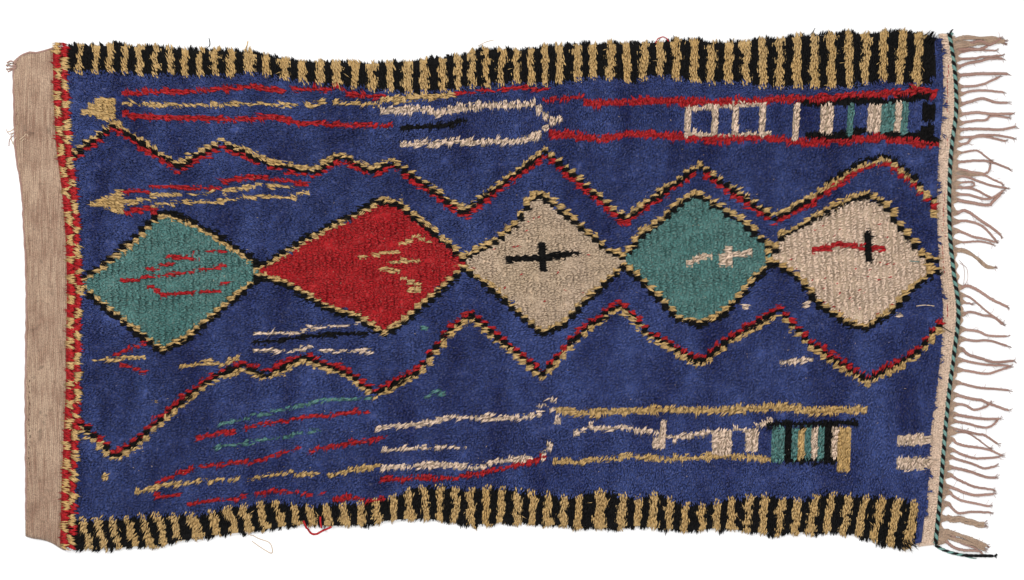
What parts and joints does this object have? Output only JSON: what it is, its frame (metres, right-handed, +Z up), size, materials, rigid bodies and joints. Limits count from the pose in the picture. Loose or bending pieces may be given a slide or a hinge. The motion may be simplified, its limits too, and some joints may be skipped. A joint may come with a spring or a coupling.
{
  "type": "moroccan rug",
  "caption": "Hand-knotted wool pile rug lying flat, with a plain woven end, shaggy striped long sides, a twined cord with a loose end, and a warp fringe.",
  "frame": {"origin": "middle of the underside of the rug's box, without the cord's loose end, on the floor that it lies on", "axes": "+X along the rug from its plain woven end to its fringe, +Y across it, +Z up out of the pile"},
  "size_m": [2.5284, 1.3282, 0.0194],
  "materials": {
    "blue_pile": "matt wool pile, blue with darker and lighter patches",
    "gold_pile": "matt wool pile",
    "black_pile": "matt wool pile",
    "red_pile": "matt wool pile",
    "teal_pile": "matt wool pile",
    "ivory_pile": "matt undyed wool pile",
    "weft_wool": "plain weft-faced weave of undyed wool",
    "cord_wool": "two-ply wool cord, one ply teal and one black",
    "warp_wool": "loosely twisted undyed wool warps"
  },
  "bodies": {
    "root": {"rug_body": "blue_pile", "twined_cord": "cord_wool", "cord_tail": "cord_wool", "end_fringe": "warp_wool"}
  },
  "joints": []
}
